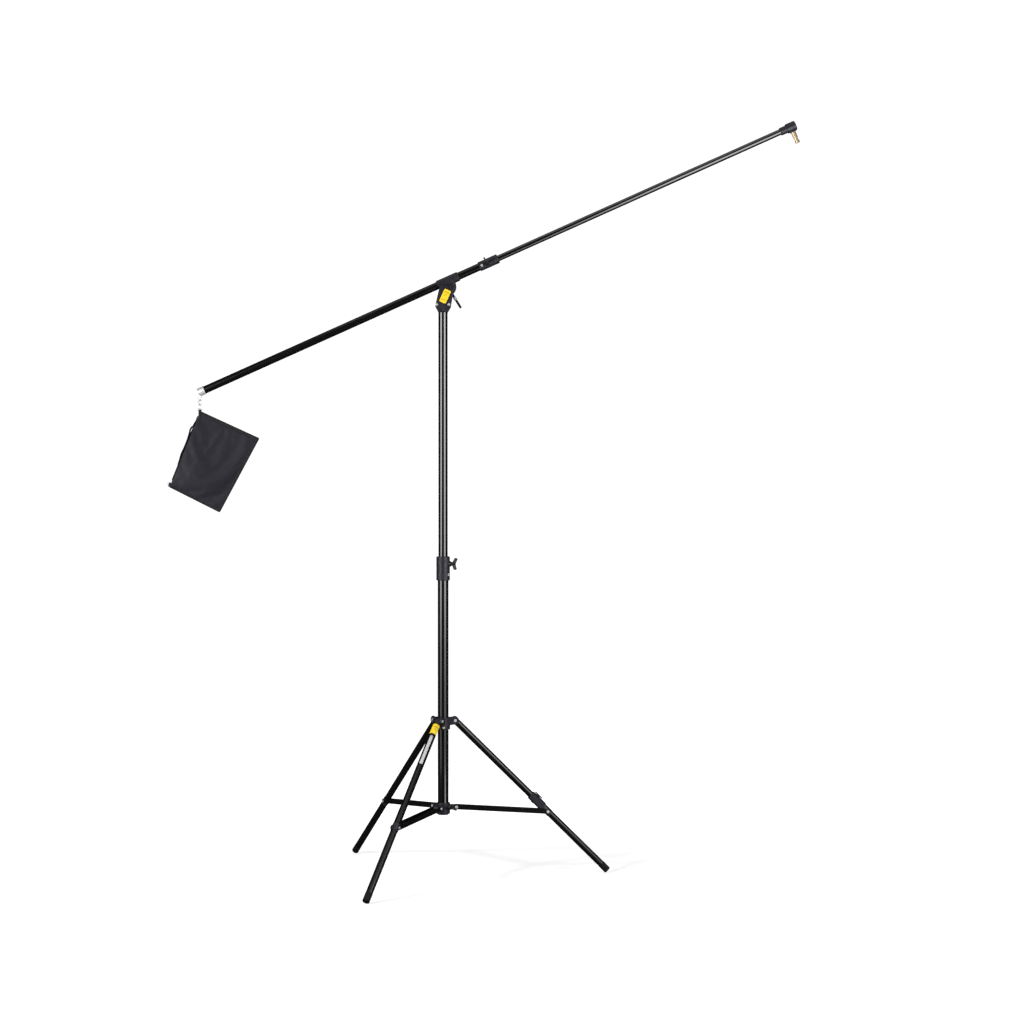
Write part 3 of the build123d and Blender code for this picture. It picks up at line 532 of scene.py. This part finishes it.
def stitch(place, along, up):
    """One thread stitch: a small spindle that dips at both ends."""
    side = along.cross(up).normalized()
    rings = [(-0.5, 0.35, -0.9), (-0.3, 1.0, 0.1), (0.0, 1.1, 0.5), (0.3, 1.0, 0.1),
             (0.5, 0.35, -0.9)]
    points, faces = [], []
    for t, size, dip in rings:
        centre = place + along * (t * stitch_length) + up * (dip * stitch_radius)
        for k in range(6):
            angle = math.pi * k / 3
            spoke = side * math.cos(angle) + up * math.sin(angle)
            points.append(centre + spoke * stitch_radius * size)
    for ring in range(4):
        for k in range(6):
            a, b = ring * 6 + k, ring * 6 + (k + 1) % 6
            faces.append((a, b, b + 6, a + 6))
    faces += [tuple(range(5, -1, -1)), tuple(range(24, 30))]
    return points, faces


# Bag

eye_low, eye_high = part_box("swivel_eye")
bag_corner = Vector(((eye_low.x + eye_high.x) / 2, 0, eye_low.z - bag_corner_drop + eye_wire))
bag_turn = Matrix.Rotation(bag_lean, 4, "Y")
bag_place = Matrix.Translation(bag_corner) @ bag_turn
front = Vector((0, -1, 0))


def on_bag(across, down, out=0.0):
    """A point of the bag from its hanging corner: across, down the mouth, out to the front."""
    return bag_place @ Vector((across, -out, -down))


off_mouth = (on_bag(-1, 0) - on_bag(0, 0)).normalized()


def outline_point(u, v):
    """(across, down) of the flat bag, where u runs from the mouth and v from the top."""
    top = Vector((bag_top_width * u, bag_top_slant * u))
    low = Vector((bag_bottom_width * u, bag_side + bag_bottom_slant * u))
    return top.lerp(low, v)


def crease(u, v, centre, width, depth):
    """A soft ridge along a slanting line."""
    off = (u - centre) / width
    return depth * math.exp(-off * off) * math.sin(math.pi * min(max(v, 0), 1)) ** 0.5


def half_thickness(u, v, side):
    """How far a panel stands off the bag's middle plane."""
    ends = math.sin(math.pi * v) ** 0.5 if 0 < v < 1 else 0.0
    mouth = gusset_half * ends * (1 - u) ** 3
    belly = panel_bulge * math.sin(math.pi * u) ** 0.7 * ends if 0 < u < 1 else 0.0
    fold = crease(u, v, 0.47 - 0.30 * v, 0.055, 0.0026)
    fold -= crease(u, v, 0.34 - 0.24 * v, 0.06, 0.0022)
    dent = crease(u, v, 0.72 - 0.12 * v, 0.11, 0.0014) * side
    inside = min(1.0, 12 * min(u, 1 - u, v, 1 - v))
    return seam_half + mouth + belly + (fold + dent) * inside


def bag_shell():
    """Two panels that meet at a seam on three sides and open into a gusset at the mouth."""
    points, faces = [], []
    for side in (1, -1):
        for j in range(cells_down + 1):
            for i in range(cells_across + 1):
                u, v = i / cells_across, j / cells_down
                across, down = outline_point(u, v)
                points.append(on_bag(across, down, side * half_thickness(u, v, side)))
    row = cells_across + 1
    sheet = row * (cells_down + 1)
    for j in range(cells_down):
        for i in range(cells_across):
            a = j * row + i
            faces.append((a, a + row, a + row + 1, a + 1))
            faces.append((sheet + a, sheet + a + 1, sheet + a + row + 1, sheet + a + row))
    rim = [j * row for j in range(cells_down + 1)]
    rim += [cells_down * row + i for i in range(1, row)]
    rim += [j * row + cells_across for j in range(cells_down - 1, -1, -1)]
    rim += range(cells_across - 1, 0, -1)
    for a, b in zip(rim, rim[1:] + rim[:1]):
        faces.append((a, sheet + a, sheet + b, b))
    return mesh_of("bag_shell", points, faces), rim, sheet


def simulate_panels(piece, pinned):
    """Lets the panels settle as slack cloth between their seams, no point beyond settle_reach."""
    group = piece.vertex_groups.new(name="seams")
    group.add(pinned, 1.0, "REPLACE")
    before = [v.co.copy() for v in piece.data.vertices]
    cloth = piece.modifiers.new("cloth", "CLOTH")
    settings = cloth.settings
    settings.quality = 6
    settings.mass = 0.25
    settings.tension_stiffness = 20
    settings.compression_stiffness = 12
    settings.shear_stiffness = 8
    settings.bending_stiffness = 4
    settings.vertex_group_mass = "seams"
    settings.shrink_min = -0.003
    settings.use_pressure = True
    settings.uniform_pressure_force = 0.3
    settings.effector_weights.gravity = 0.15
    cloth.point_cache.frame_start = 1
    cloth.point_cache.frame_end = settle_frames
    for step in range(1, settle_frames + 1):
        bpy.context.scene.frame_set(step)
    graph = bpy.context.evaluated_depsgraph_get()
    settled = [v.co.copy() for v in piece.evaluated_get(graph).data.vertices]
    piece.modifiers.clear()
    bpy.context.scene.frame_set(1)
    for vertex, start, end in zip(piece.data.vertices, before, settled):
        move = end - start
        if move.length > settle_reach:
            move = move.normalized() * settle_reach
        vertex.co = start + move


def make_bag():
    mesh, rim, sheet = bag_shell()
    piece = new_piece("counterweight_bag", mesh, "nylon", "bag")
    simulate_panels(piece, rim + [sheet + i for i in rim])
    rounding = piece.modifiers.new("smooth", "SUBSURF")
    rounding.levels = rounding.render_levels = 1
    apply_modifiers(piece)
    piece.data.polygons.foreach_set("use_smooth", [True] * len(piece.data.polygons))
    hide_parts("bag_body")


def make_binding():
    """Tape folded over the three seamed edges."""
    tape = binding_width
    fold = [(tape, 2.6), (tape * 0.5, 2.7), (-0.0002, 2.3), (-0.0016, 0.0),
            (-0.0002, -2.3), (tape * 0.5, -2.7), (tape, -2.6)]  # metres in, millimetres out
    steps = 30
    parts = []
    for start, end, inward in seam_lines():
        rows = []
        for k in range(steps + 1):
            spot = start.lerp(end, k / steps)
            row = []
            for reach, out in fold:
                at = spot + inward * reach
                row.append(on_bag(at.x, at.y, out * 0.001))
            rows.append(row)
        parts.append(shell_of(rows, binding_thickness))
    built_piece("bag_binding", parts, "webbing", "bag")


def shell_of(rows, thickness):
    """A sheet given by rows of points, made into a closed shell of that thickness."""
    width = len(rows[0])
    outer = [p for row in rows for p in row]
    inner = []
    for j, row in enumerate(rows):
        for i, p in enumerate(row):
            a = row[max(i - 1, 0)]
            b = row[min(i + 1, width - 1)]
            c = rows[max(j - 1, 0)][i]
            d = rows[min(j + 1, len(rows) - 1)][i]
            inner.append(p - (b - a).cross(d - c).normalized() * thickness)
    total = len(outer)
    faces = []
    for j in range(len(rows) - 1):
        for i in range(width - 1):
            a = j * width + i
            faces.append((a, a + 1, a + width + 1, a + width))
            faces.append((total + a, total + a + width, total + a + width + 1, total + a + 1))
    border = list(range(width))
    border += [j * width + width - 1 for j in range(1, len(rows))]
    border += [(len(rows) - 1) * width + i for i in range(width - 2, -1, -1)]
    border += [j * width for j in range(len(rows) - 2, 0, -1)]
    for a, b in zip(border, border[1:] + border[:1]):
        faces.append((a, b, total + b, total + a))
    return outer + inner, faces


def seam_lines():
    """The bag's three seamed sides, each as its two ends and the direction in to the panel."""
    corners = [outline_point(u, v) for u, v in ((0, 0), (1, 0), (1, 1), (0, 1))]
    lines = []
    for start, end in zip(corners, corners[1:]):
        along = (end - start).normalized()
        inward = Vector((-along.y, along.x))
        if inward.dot(outline_point(0.5, 0.5) - start) < 0:
            inward = -inward
        lines.append((start, end, inward))
    return lines


def make_stitching():
    """A row of stitches along each bound edge, on the front and on the back."""
    parts = []
    for start, end, inward in seam_lines():
        for side in (1, -1):
            path = [on_bag(*(spot + inward * seam_stitch_inset), side * seam_stitch_height)
                    for spot in (start, end)]
            parts += [stitch(place, along, front * side)
                      for place, along in walk(path, stitch_pitch, 0.004)]
    built_piece("bag_stitching", parts, "thread", "bag")


def make_corner_loop():
    """Webbing that runs up from the bag's corner, over the swivel eye's bar and down behind."""
    bar = Vector((bag_corner.x, 0, eye_low.z + eye_wire))
    bend = eye_wire + 0.0003 + webbing_thickness / 2
    down = [(loop_flare, 0.019), (loop_flare, 0.008), (bend, 0.0035), (bend, 0.0)]
    path = [bar + Vector((0, -out, -drop)) for out, drop in down]
    for turn in range(1, 8):
        angle = math.pi * turn / 8
        path.append(bar + Vector((0, -bend * math.cos(angle), bend * math.sin(angle))))
    path += [bar + Vector((0, out, -drop)) for out, drop in reversed(down)]
    parts = [sweep(path, Vector((1, 0, 0)), loop_width, webbing_thickness)]
    for side in (1, -1):
        for across in (-0.0032, 0.0, 0.0032):
            out = loop_flare + webbing_thickness / 2 + thread_lift
            place = bar + Vector((across, -side * out, -0.0165))
            parts.append(stitch(place, Vector((1, 0, 0)), front * side))
    piece = built_piece("bag_corner_loop", parts, "webbing", "bag")
    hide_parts("bag_corner_straps")


def make_lower_tab():
    """Folded webbing that holds the spare clip's ring at the foot of the mouth."""
    middle = bag_side - tab_above_foot
    around = [(0.012, 0.0036), (0.002, 0.0036), (-0.002, tab_bend), (-tab_root, tab_bend)]
    line = list(around)
    for step in range(1, 6):
        angle = math.pi * step / 6
        reach = tab_bend * 0.75 * math.sin(angle)
        line.append((-tab_root - reach, tab_bend * math.cos(angle)))
    line += [(across, -y) for across, y in reversed(around)]
    path = [on_bag(across, middle, y) for across, y in line]
    down = (on_bag(0, 1) - on_bag(0, 0)).normalized()
    band = sweep(path, down, tab_width, tab_thickness)
    built_piece("bag_lower_tab", [band], "webbing", "bag")


def handle_line():
    """(down, rise) pairs along the carry handle. It kinks twice, near its ends."""
    shape = [(-0.10, -0.0006), (-0.01, -0.0002), (0.03, 0.0036), (0.08, 0.0050), (0.13, 0.0054),
             (0.22, 0.0030), (0.42, 0.0012), (0.60, 0.0012), (0.74, 0.0022), (0.82, 0.0026),
             (0.90, 0.0012), (0.98, 0.0002), (1.02, -0.0004), (1.10, -0.0006)]
    return [(handle_start + handle_run * share, rise) for share, rise in shape]


def make_handle():
    """A flat webbing strap, sewn down at both ends."""
    half = handle_thickness / 2
    path = smoothed([on_bag(-rise - half, down) for down, rise in handle_line()], 3)
    strap = sweep(path, front, handle_width, handle_thickness)
    piece = built_piece("bag_carry_handle", [strap], "webbing", "bag")
    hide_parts("bag_handle")
    parts = []
    for side in (-1, 1):
        sideways = front * side * (handle_width / 2 - handle_stitch_inset)
        line = [p + off_mouth * (half + thread_lift) + sideways for p in path]
        parts += [stitch(place, along, off_mouth) for place, along in walk(line, stitch_pitch)]
    for end in (path[2], path[-3]):
        for row in range(-5, 6):
            place = end + off_mouth * (half + thread_lift) + front * (row * 0.0019)
            parts.append(stitch(place, front, off_mouth))
    built_piece("handle_stitching", parts, "thread", "bag")
    stud_place = path[len(path) // 2] + off_mouth * handle_thickness / 2
    profile = [(0.0, 0.0016), (0.0022, 0.0015), (0.0042, 0.0009), (0.0050, 0.0001),
               (0.0046, -0.0004)]
    stud = turned_shape(stud_place, off_mouth, profile)
    built_piece("handle_stud", [stud], "steel", "bag")


def turned_shape(place, axis, profile, sides=20):
    """A shape of revolution. profile is (radius, height) pairs from its crown outwards."""
    across = axis.orthogonal().normalized()
    other = axis.cross(across)
    points = [place + axis * profile[0][1]]
    faces = []
    for radius, height in profile[1:]:
        for k in range(sides):
            angle = 2 * math.pi * k / sides
            spoke = across * math.cos(angle) + other * math.sin(angle)
            points.append(place + axis * height + spoke * radius)
    faces += [(0, 1 + k, 1 + (k + 1) % sides) for k in range(sides)]
    for ring in range(len(profile) - 2):
        for k in range(sides):
            a, b = 1 + ring * sides + k, 1 + ring * sides + (k + 1) % sides
            faces.append((a, a + sides, b + sides, b))
    last = 1 + (len(profile) - 2) * sides
    faces.append(tuple(last + k for k in reversed(range(sides))))
    return points, faces


def small_box(place, along, up, size):
    """A box with its centre at place. size is along, across and up."""
    across = up.cross(along).normalized()
    length, width, height = (along * size[0] / 2, across * size[1] / 2, up * size[2] / 2)
    points = []
    for c in (-1, 1):
        for a, b in ((-1, -1), (1, -1), (1, 1), (-1, 1)):
            points.append(place + length * a + width * b + height * c)
    faces = [(0, 3, 2, 1), (4, 5, 6, 7), (0, 1, 5, 4), (1, 2, 6, 5), (2, 3, 7, 6), (3, 0, 4, 7)]
    return points, faces


def make_zipper():
    """Woven tapes along the mouth, a coil of teeth between them, and a slider with its pull."""
    stop = bag_side - zip_stop_above_foot
    steps = 40
    tapes = []
    for side in (-1, 1):
        rows = []
        for k in range(steps + 1):
            down = zip_start + (stop - zip_start) * k / steps
            reach = min(zip_tape_half, half_thickness(0, down / bag_side, 1) - 0.0004)
            edges = (zip_coil_half, zip_coil_half + (reach - zip_coil_half) * 0.5, reach)
            rows.append([on_bag(-0.0008, down, side * across) for across in edges])
        tapes.append(shell_of(rows, zip_tape_thickness * side))
    built_piece("zipper_tape", tapes, "webbing", "bag")
    path = [on_bag(-0.0010, zip_start, 0), on_bag(-0.0010, stop, 0)]
    teeth = []
    for k, (place, along) in enumerate(walk(path, zip_pitch / 2)):
        offset = front * (0.0006 if k % 2 else -0.0006)
        teeth.append(small_box(place + offset, along, off_mouth, (0.0009, 0.0034, 0.0014)))
    built_piece("zipper_teeth", teeth, "plastic", "bag", smooth=False)
    place = on_bag(-0.0022, zip_start + slider_from_start, 0)
    along = (path[1] - path[0]).normalized()
    bridge = place + off_mouth * 0.0019
    pull = place + along * 0.011 + off_mouth * 0.0020
    slider = [small_box(place, along, off_mouth, (0.0095, 0.0078, 0.0026)),
              small_box(bridge, along, off_mouth, (0.005, 0.002, 0.0014)),
              small_box(pull, along, off_mouth, (0.019, 0.0048, 0.0011))]
    piece = built_piece("zipper_slider", slider, "steel", "bag", smooth=False)
    bevel = piece.modifiers.new("rounding", "BEVEL")
    bevel.width = 0.0004
    bevel.segments = 2


# Labels


def rounded_corners(width, height, radius, steps=5):
    """The outline of a rectangle with round corners, counterclockwise."""
    line = []
    for corner, (x, y) in enumerate(((1, 1), (-1, 1), (-1, -1), (1, -1))):
        for k in range(steps + 1):
            angle = math.pi / 2 * (corner + k / steps)
            line.append((x * (width / 2 - radius) + radius * math.cos(angle),
                         y * (height / 2 - radius) + radius * math.sin(angle)))
    return line


def slab(line, place, right, up, thickness):
    """A flat outline with thickness, lying on the plane through place."""
    out = right.cross(up).normalized()
    count = len(line)
    points = [place + right * x + up * y + out * d for d in (0, thickness) for x, y in line]
    faces = [tuple(reversed(range(count))), tuple(range(count, 2 * count))]
    faces += [(k, (k + 1) % count, count + (k + 1) % count, count + k) for k in range(count)]
    return points, faces


def make_head_label():
    """A blank yellow plate on the front head arm, with plain bars where print would be."""
    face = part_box("head_arm_front")[0].y + rim_height
    place = Vector((label_centre[0], face, label_centre[1]))
    up = Vector((math.sin(label_lean), 0, math.cos(label_lean)))
    right = Vector((math.cos(label_lean), 0, -math.sin(label_lean)))
    line = rounded_corners(label_width, label_height, label_round)
    plate = slab(line, place, right, up, label_thickness)
    built_piece("head_label", [plate], "yellow", "riser", smooth=False)
    on_top = place + front * label_thickness
    bars = []
    for x, y, width, height in label_bars:
        line = rounded_corners(width, height, 0.0004, 2)
        bars.append(slab(line, on_top + right * x + up * y, right, up, ink_thickness))
    built_piece("head_label_print", bars, "ink", "riser", smooth=False)


def wrapped(start, end, half_angle, lift, turn=0.0):
    """A patch that hugs the front leg from start to end, in metres down the leg from its pivot."""
    spoke = Vector((math.cos(leg_azimuth), math.sin(leg_azimuth), 0))
    pivot = spoke * leg_pivot_x + Vector((0, 0, leg_pivot_z))
    down = spoke * math.sin(leg_spread) - Vector((0, 0, math.cos(leg_spread)))
    towards = (front - down * front.dot(down)).normalized()
    side = down.cross(towards)
    rows = []
    for k in range(13):
        row = []
        for a in range(-12, 13):
            angle = turn + half_angle * a / 12
            radius = leg_radius + lift + wrap_thickness
            at = pivot + down * (start + (end - start) * k / 12)
            row.append(at + (towards * math.cos(angle) + side * math.sin(angle)) * radius)
        rows.append(row)
    return shell_of(rows, wrap_thickness)


def make_leg_labels():
    """A yellow band and a silver strip near the top of the front leg."""
    band = wrapped(*leg_band, wrap_lift)
    built_piece("leg_label", [band], "yellow", "leg_front")
    marks = [wrapped(*mark, wrap_lift + wrap_thickness) for mark in leg_marks]
    built_piece("leg_label_print", marks, "ink", "leg_front")
    strip = wrapped(*leg_strip, wrap_lift, leg_strip_turn)
    built_piece("leg_sticker", [strip], "silver", "leg_front")


def run_all():
    dress_cad_nodes()
    make_bag()
    make_binding()
    make_stitching()
    make_corner_loop()
    make_lower_tab()
    make_handle()
    make_zipper()
    make_head_label()
    make_leg_labels()


# Stage


def make_camera():
    camera = bpy.data.objects.new("camera", bpy.data.cameras.new("camera"))
    bpy.context.scene.collection.objects.link(camera)
    camera.location = camera_place
    camera.rotation_euler = (camera_target - camera_place).to_track_quat("-Z", "Y").to_euler()
    camera.data.lens = camera_lens
    camera.data.clip_end = 100
    bpy.context.scene.camera = camera


def panel_glow(name, steps):
    """Light whose brightness rises with height. steps are (height, radiance) pairs, in metres."""
    material = bpy.data.materials.new(name)
    material.use_nodes = True
    tree = material.node_tree
    tree.nodes.clear()
    place = tree.nodes.new("ShaderNodeTexCoord")
    axes = tree.nodes.new("ShaderNodeSeparateXYZ")
    tree.links.new(place.outputs["Object"], axes.inputs[0])
    spread = tree.nodes.new("ShaderNodeMapRange")
    spread.inputs["From Max"].default_value = steps[-1][0]
    tree.links.new(axes.outputs["Z"], spread.inputs["Value"])
    ramp = tree.nodes.new("ShaderNodeValToRGB")
    brightest = max(radiance for _, radiance in steps)
    for height, _ in steps[1:-1]:
        ramp.color_ramp.elements.new(height / steps[-1][0])
    for stop, (height, radiance) in zip(ramp.color_ramp.elements, steps):
        stop.position = height / steps[-1][0]
        stop.color = grey(radiance / brightest)
    tree.links.new(spread.outputs[0], ramp.inputs[0])
    glow = tree.nodes.new("ShaderNodeEmission")
    glow.inputs["Strength"].default_value = brightest
    tree.links.new(ramp.outputs[0], glow.inputs["Color"])
    out = tree.nodes.new("ShaderNodeOutputMaterial")
    tree.links.new(glow.outputs[0], out.inputs["Surface"])
    return material


def make_panel(name, centre, width, steps):
    """A tall soft panel that faces the stand. The camera itself doesn't see it."""
    facing = -Vector((centre[0], centre[1], 0)).normalized()
    side = facing.cross(Vector((0, 0, 1)))
    height = steps[-1][0]
    base = Vector((centre[0], centre[1], 0))
    points = [base - side * width / 2, base + side * width / 2]
    points += [p + Vector((0, 0, height)) for p in reversed(points)]
    mesh = bpy.data.meshes.new(name)
    mesh.from_pydata([tuple(p) for p in points], [], [(0, 1, 2, 3)])
    mesh.materials.append(panel_glow(name, steps))
    panel = bpy.data.objects.new(name, mesh)
    bpy.context.scene.collection.objects.link(panel)
    panel.visible_camera = False
    panel.visible_shadow = False


def make_lamp(name, place, target, width, height, radiance, mirrored):
    """A soft light of even brightness. The camera itself doesn't see it."""
    lamp = bpy.data.lights.new(name, "AREA")
    lamp.shape = "RECTANGLE"
    lamp.size = width
    lamp.size_y = height
    lamp.energy = radiance * math.pi * width * height
    light = bpy.data.objects.new(name, lamp)
    bpy.context.scene.collection.objects.link(light)
    light.location = place
    aim = Vector(target) - Vector(place)
    light.rotation_euler = aim.to_track_quat("-Z", "Y").to_euler()
    light.visible_camera = False
    light.visible_glossy = mirrored


def make_stage():
    bpy.ops.mesh.primitive_circle_add(vertices=96, radius=floor_radius, fill_type="NGON")
    floor = bpy.context.object
    floor.name = "floor"
    floor.data.materials.append(pale_floor())
    floor.visible_glossy = False
    world = bpy.data.worlds.new("studio")
    bpy.context.scene.world = world
    world.use_nodes = True
    tree = world.node_tree
    tree.nodes["Background"].inputs["Strength"].default_value = world_fill
    seen = tree.nodes.new("ShaderNodeBackground")
    seen.inputs["Strength"].default_value = backdrop
    for ground in (tree.nodes["Background"], seen):
        ground.inputs["Color"].default_value = (1, 1, 1, 1)
    mix = tree.nodes.new("ShaderNodeMixShader")
    path = tree.nodes.new("ShaderNodeLightPath")
    tree.links.new(path.outputs["Is Camera Ray"], mix.inputs[0])
    tree.links.new(tree.nodes["Background"].outputs[0], mix.inputs[1])
    tree.links.new(seen.outputs[0], mix.inputs[2])
    tree.links.new(mix.outputs[0], tree.nodes["World Output"].inputs["Surface"])
    bpy.context.scene.view_settings.view_transform = "Standard"
    for name, centre, width in panels:
        make_panel(name, centre, width, panel_steps)
    for lamp in lamps:
        make_lamp(*lamp)


run_all()
make_camera()
make_stage()
